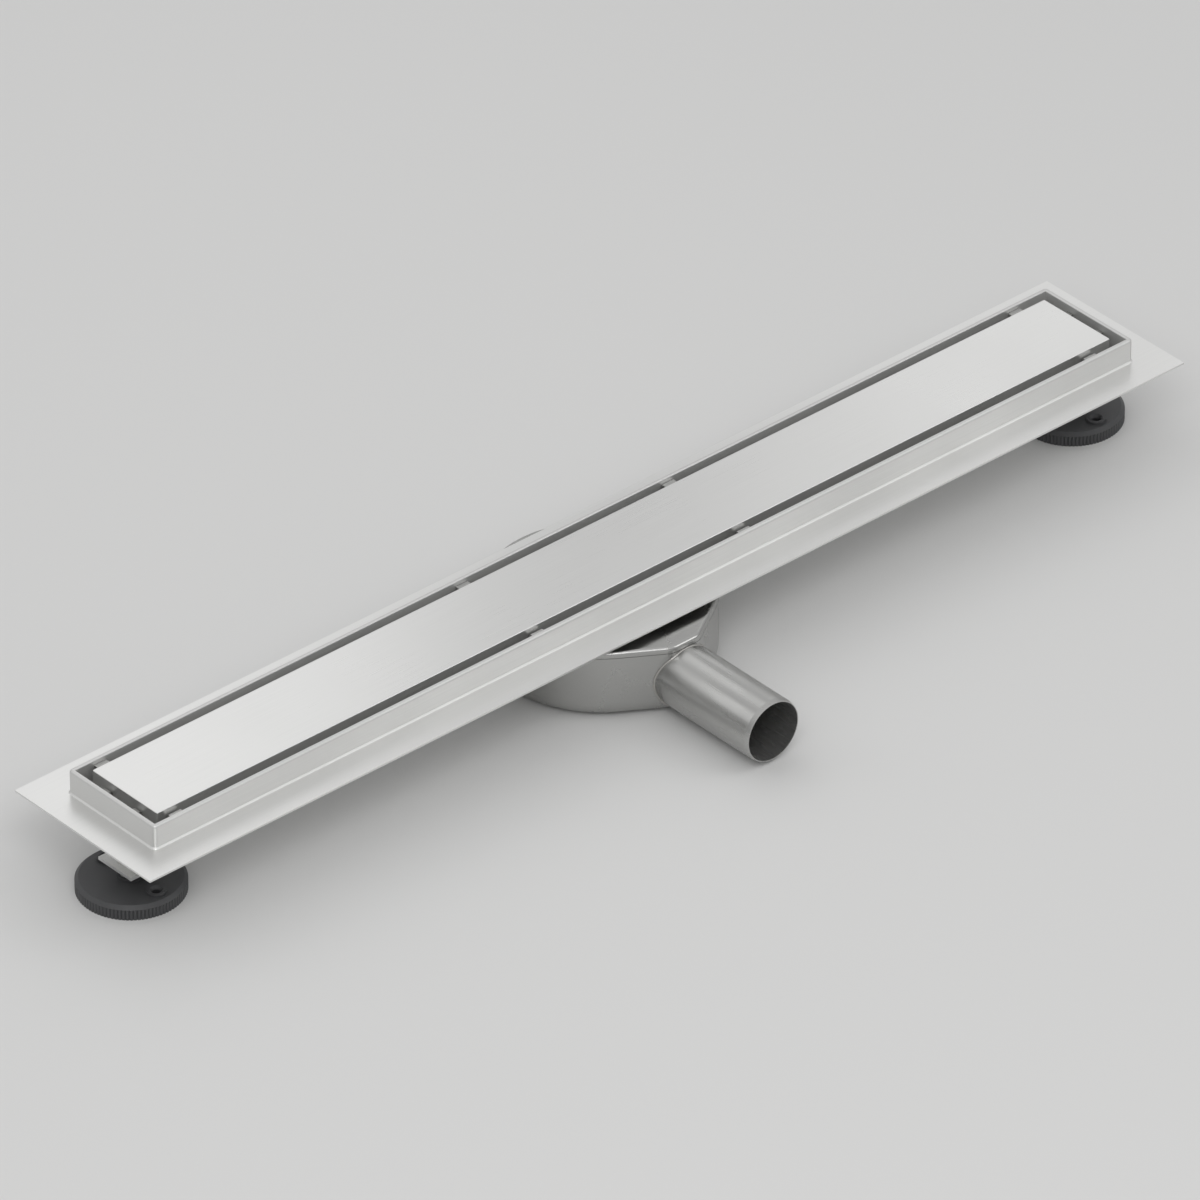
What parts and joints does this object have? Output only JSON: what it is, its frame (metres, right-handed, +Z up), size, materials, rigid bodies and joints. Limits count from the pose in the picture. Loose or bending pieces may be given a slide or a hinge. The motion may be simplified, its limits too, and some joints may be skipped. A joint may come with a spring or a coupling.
{
  "type": "linear shower drain",
  "caption": "Long stainless shower channel with a plain cover between open slots, a sealing flange, a round siphon with a side outlet and screw-adjusted feet.",
  "frame": {"origin": "middle of the cover's top face, at the finished floor level", "axes": "+X along the channel, +Z up, and the outlet pipe points to -Y"},
  "size_m": [0.8, 0.2192, 0.068],
  "materials": {
    "channel_steel": "satin, faint grinding marks along the channel",
    "flange_steel": "satin, half-gloss sheet",
    "cover_steel": "fine brushed along the length",
    "strip_steel": "satin sheet",
    "siphon_steel": "deep-drawn, soft half-gloss",
    "strainer_steel": "satin sheet",
    "bracket_steel": "satin sheet",
    "fastener_steel": "zinc grey, half-gloss",
    "trap_plastic": "matt, moulded",
    "foot_plastic": "matt, moulded, near black",
    "seal_rubber": "matt"
  },
  "bodies": {
    "channel": {"channel_tray": "channel_steel", "sealing_flange": "flange_steel", "cover_plate": "cover_steel", "cover_spacer_1": "strip_steel", "cover_spacer_2": "strip_steel", "cover_spacer_3": "strip_steel", "cover_spacer_4": "strip_steel", "end_stop_1": "strip_steel", "end_stop_2": "strip_steel", "end_stop_3": "strip_steel", "end_stop_4": "strip_steel", "siphon_top_plate": "siphon_steel", "siphon_bowl": "siphon_steel", "outlet_pipe": "siphon_steel", "trap_funnel": "trap_plastic", "trap_cup": "trap_plastic", "trap_seal": "seal_rubber", "hair_strainer": "strainer_steel", "strainer_knob": "strainer_steel", "foot_bracket_left": "bracket_steel", "foot_bracket_right": "bracket_steel", "washer_left": "fastener_steel", "washer_right": "fastener_steel", "upper_nut_left": "fastener_steel", "upper_nut_right": "fastener_steel", "lower_nut_left": "fastener_steel", "lower_nut_right": "fastener_steel"},
    "left_foot": {"foot_disc_left": "foot_plastic", "foot_stud_left": "fastener_steel"},
    "right_foot": {"foot_disc_right": "foot_plastic", "foot_stud_right": "fastener_steel"}
  },
  "joints": [
    {"name": "left_foot_height", "type": "slide", "parent": "channel", "child": "left_foot", "axis": [0, 0, -1], "range_m": [0, 0.015]},
    {"name": "right_foot_height", "type": "slide", "parent": "channel", "child": "right_foot", "axis": [0, 0, -1], "range_m": [0, 0.015]}
  ]
}
